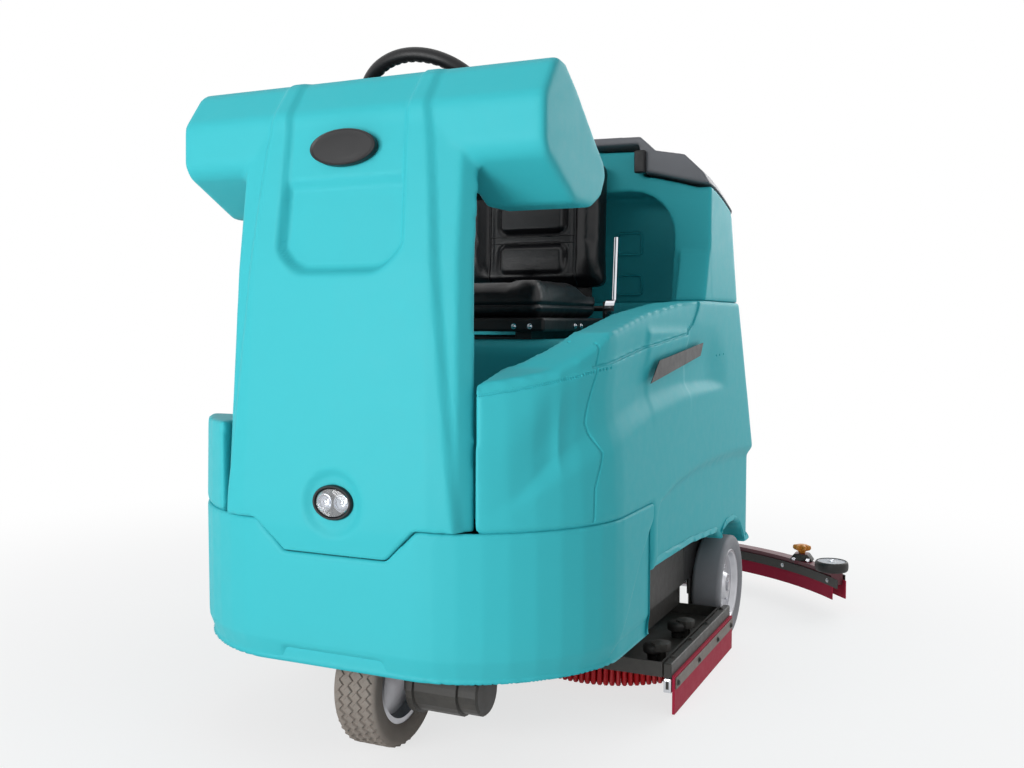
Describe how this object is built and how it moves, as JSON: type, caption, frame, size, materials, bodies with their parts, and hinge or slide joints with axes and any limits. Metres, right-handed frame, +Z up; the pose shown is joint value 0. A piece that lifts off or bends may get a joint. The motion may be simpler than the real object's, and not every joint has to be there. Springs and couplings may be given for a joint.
{
  "type": "ride-on floor scrubber",
  "caption": "Ride-on floor scrubber with a steered front drive wheel, disc brush deck, rear tank with a lid, driver's seat and a curved rear squeegee.",
  "frame": {"origin": "centre of the bounding box on the floor", "axes": "+Z up, front towards -Y, +X is the driver's left"},
  "size_m": [1.5, 2.0126, 1.4735],
  "materials": {
    "body_teal": "moulded polyethylene, satin",
    "lid_grey": "moulded polyethylene, satin",
    "black_plastic": "moulded, fine grain",
    "black_steel": "satin black powder coat",
    "steel": "zinc plated, brushed",
    "chrome": "polished",
    "black_vinyl": "grained vinyl upholstery over foam",
    "drive_tread": "worn grey-brown rubber",
    "grey_tyre": "non-marking grey rubber",
    "red_rubber": "crimson blade rubber",
    "red_bristle": "nylon bristle",
    "maroon_steel": "satin powder coat",
    "orange_plastic": "moulded",
    "lamp_glass": "clear lens over a reflector",
    "battery_case": "moulded",
    "stop_red": "moulded"
  },
  "bodies": {
    "machine": {"base_body": "body_teal", "front_bumper": "body_teal", "front_cowl": "body_teal", "headlight_bezel": "black_plastic", "headlight_lens": "lamp_glass", "emblem_plate": "black_plastic", "side_plate": "black_plastic", "side_panel_left": "black_steel", "side_panel_right": "black_steel", "chassis_frame": "black_steel", "dashboard": "black_plastic", "steering_column": "black_plastic", "steer_chain": "black_steel", "rear_axle": "steel", "battery_pack": "battery_case", "recovery_tank": "body_teal", "vacuum_motor": "black_steel", "solution_pump": "black_steel"},
    "drive_unit": {"drive_fork": "black_steel", "drive_motor": "black_steel"},
    "drive_wheel": {"drive_tyre": "drive_tread", "drive_hub": "steel"},
    "steering": {"steering_wheel": "black_plastic", "steering_shaft": "steel"},
    "drop_shaft": {"steering_drop_shaft": "steel"},
    "rear_wheel_left": {"rear_tyre_left": "grey_tyre", "rear_hub_left": "steel"},
    "rear_wheel_right": {"rear_tyre_right": "grey_tyre", "rear_hub_right": "steel"},
    "hood": {"seat_hood": "body_teal", "seat_rails": "black_steel"},
    "seat": {"seat_pan": "black_plastic", "seat_cushion": "black_vinyl"},
    "backrest": {"seat_backrest": "black_vinyl", "backrest_frame": "black_steel"},
    "recline": {"recline_lever": "chrome"},
    "lid": {"tank_lid": "lid_grey"},
    "latch": {"lid_latch": "black_plastic"},
    "stop_button": {"emergency_stop": "stop_red"},
    "key": {"key_switch": "steel"},
    "lever": {"direction_lever": "black_plastic"},
    "accelerator": {"accelerator_pedal": "black_plastic"},
    "brake": {"brake_pedal": "black_plastic"},
    "deck": {"brush_deck": "black_steel", "brush_motor_left": "black_steel", "brush_motor_right": "black_steel", "side_guard_left": "black_steel", "side_guard_right": "black_steel", "side_blade_left": "red_rubber", "side_blade_right": "red_rubber"},
    "brush_left": {"disc_brush_left": "red_bristle"},
    "brush_right": {"disc_brush_right": "red_bristle"},
    "arm": {"squeegee_arm": "black_steel"},
    "squeegee": {"squeegee_channel": "maroon_steel", "squeegee_blade_front": "red_rubber", "squeegee_blade_rear": "red_rubber"},
    "roller_left": {"guide_roller_left": "black_plastic"},
    "roller_right": {"guide_roller_right": "black_plastic"},
    "knob_left": {"wing_knob_left": "orange_plastic"},
    "knob_right": {"wing_knob_right": "orange_plastic"}
  },
  "joints": [
    {"name": "drive_steer", "type": "hinge", "parent": "machine", "child": "drive_unit", "pos_m": [0, -0.79925, 0.325], "axis": [0, 0, 1], "range_deg": [-35, 35]},
    {"name": "drive_spin", "type": "hinge", "parent": "drive_unit", "child": "drive_wheel", "pos_m": [0, -0.79925, 0.14], "axis": [1, 0, 0], "continuous": true},
    {"name": "steering_turn", "type": "hinge", "parent": "machine", "child": "steering", "pos_m": [0, -0.60025, 1.3355], "axis": [0, 0.766, 0.6428], "range_deg": [-140, 140]},
    {"name": "drop_shaft_turn", "type": "hinge", "parent": "machine", "child": "drop_shaft", "pos_m": [0, -0.92125, 0.341], "axis": [0, 0, 1], "range_deg": [-140, 140]},
    {"name": "rear_spin_left", "type": "hinge", "parent": "machine", "child": "rear_wheel_left", "pos_m": [0.441, 0.26775, 0.143], "axis": [1, 0, 0], "continuous": true},
    {"name": "rear_spin_right", "type": "hinge", "parent": "machine", "child": "rear_wheel_right", "pos_m": [-0.441, 0.26775, 0.143], "axis": [1, 0, 0], "continuous": true},
    {"name": "hood_tilt", "type": "hinge", "parent": "machine", "child": "hood", "pos_m": [0, -0.51425, 0.435], "axis": [1, 0, 0], "range_deg": [0, 20]},
    {"name": "seat_slide", "type": "slide", "parent": "hood", "child": "seat", "axis": [0, -1, 0], "range_m": [0, 0.1]},
    {"name": "backrest_fold", "type": "hinge", "parent": "seat", "child": "backrest", "pos_m": [0, -0.07125, 0.925], "axis": [1, 0, 0], "range_deg": [0, 64]},
    {"name": "recline_release", "type": "hinge", "parent": "backrest", "child": "recline", "pos_m": [0.2425, -0.07125, 0.925], "axis": [1, 0, 0], "range_deg": [0, 22], "stiffness_Nm_per_rad": 4, "springref_deg": -5.73},
    {"name": "lid_open", "type": "hinge", "parent": "machine", "child": "lid", "pos_m": [0, 0.38275, 1.2], "axis": [-1, 0, 0], "range_deg": [0, 80]},
    {"name": "latch_flip", "type": "hinge", "parent": "lid", "child": "latch", "pos_m": [0.287, 0.00575, 1.337], "axis": [-1, 0, 0], "range_deg": [0, 60]},
    {"name": "stop_press", "type": "slide", "parent": "machine", "child": "stop_button", "axis": [0, -0.6237, -0.7816], "range_m": [0, 0.005], "stiffness_N_per_m": 800, "springref_m": -0.002},
    {"name": "key_turn", "type": "hinge", "parent": "machine", "child": "key", "pos_m": [-0.165, -0.76435, 1.32858], "axis": [0, 0.6237, 0.7816], "range_deg": [0, 90]},
    {"name": "direction_tilt", "type": "hinge", "parent": "machine", "child": "lever", "pos_m": [-0.165, -0.69007, 1.27736], "axis": [1, 0, 0], "range_deg": [-15, 15]},
    {"name": "accelerator_press", "type": "hinge", "parent": "machine", "child": "accelerator", "pos_m": [0.12, -0.64925, 0.4233], "axis": [1, 0, 0], "range_deg": [0, 16], "stiffness_Nm_per_rad": 3, "springref_deg": -8.59},
    {"name": "brake_press", "type": "hinge", "parent": "machine", "child": "brake", "pos_m": [-0.12, -0.64925, 0.4233], "axis": [1, 0, 0], "range_deg": [0, 16], "stiffness_Nm_per_rad": 3, "springref_deg": -8.59},
    {"name": "deck_lift", "type": "slide", "parent": "machine", "child": "deck", "axis": [0, 0, 1], "range_m": [0, 0.06]},
    {"name": "brush_spin_left", "type": "hinge", "parent": "deck", "child": "brush_left", "pos_m": [0.245, -0.06425, 0.086], "axis": [0, 0, 1], "continuous": true},
    {"name": "brush_spin_right", "type": "hinge", "parent": "deck", "child": "brush_right", "pos_m": [-0.245, -0.06425, 0.086], "axis": [0, 0, 1], "continuous": true},
    {"name": "arm_lift", "type": "hinge", "parent": "machine", "child": "arm", "pos_m": [0, 0.54575, 0.2], "axis": [1, 0, 0], "range_deg": [-11, 8]},
    {"name": "squeegee_level", "type": "hinge", "parent": "arm", "child": "squeegee", "pos_m": [0, 0.76075, 0.185], "axis": [1, 0, 0], "range_deg": [-8, 11]},
    {"name": "roller_spin_left", "type": "hinge", "parent": "squeegee", "child": "roller_left", "pos_m": [0.7, 0.6497, 0.1275], "axis": [0, 0, 1], "continuous": true},
    {"name": "roller_spin_right", "type": "hinge", "parent": "squeegee", "child": "roller_right", "pos_m": [-0.7, 0.6497, 0.1275], "axis": [0, 0, 1], "continuous": true},
    {"name": "knob_turn_left", "type": "hinge", "parent": "squeegee", "child": "knob_left", "pos_m": [0.59, 0.76925, 0.1485], "axis": [0, 0, 1], "continuous": true},
    {"name": "knob_turn_right", "type": "hinge", "parent": "squeegee", "child": "knob_right", "pos_m": [-0.59, 0.76925, 0.1485], "axis": [0, 0, 1], "continuous": true}
  ],
  "couplings": [
    {"joint": "steering_turn", "follows": "drive_steer", "ratio": 4},
    {"joint": "drop_shaft_turn", "follows": "drive_steer", "ratio": 4},
    {"joint": "squeegee_level", "follows": "arm_lift", "ratio": -1}
  ]
}
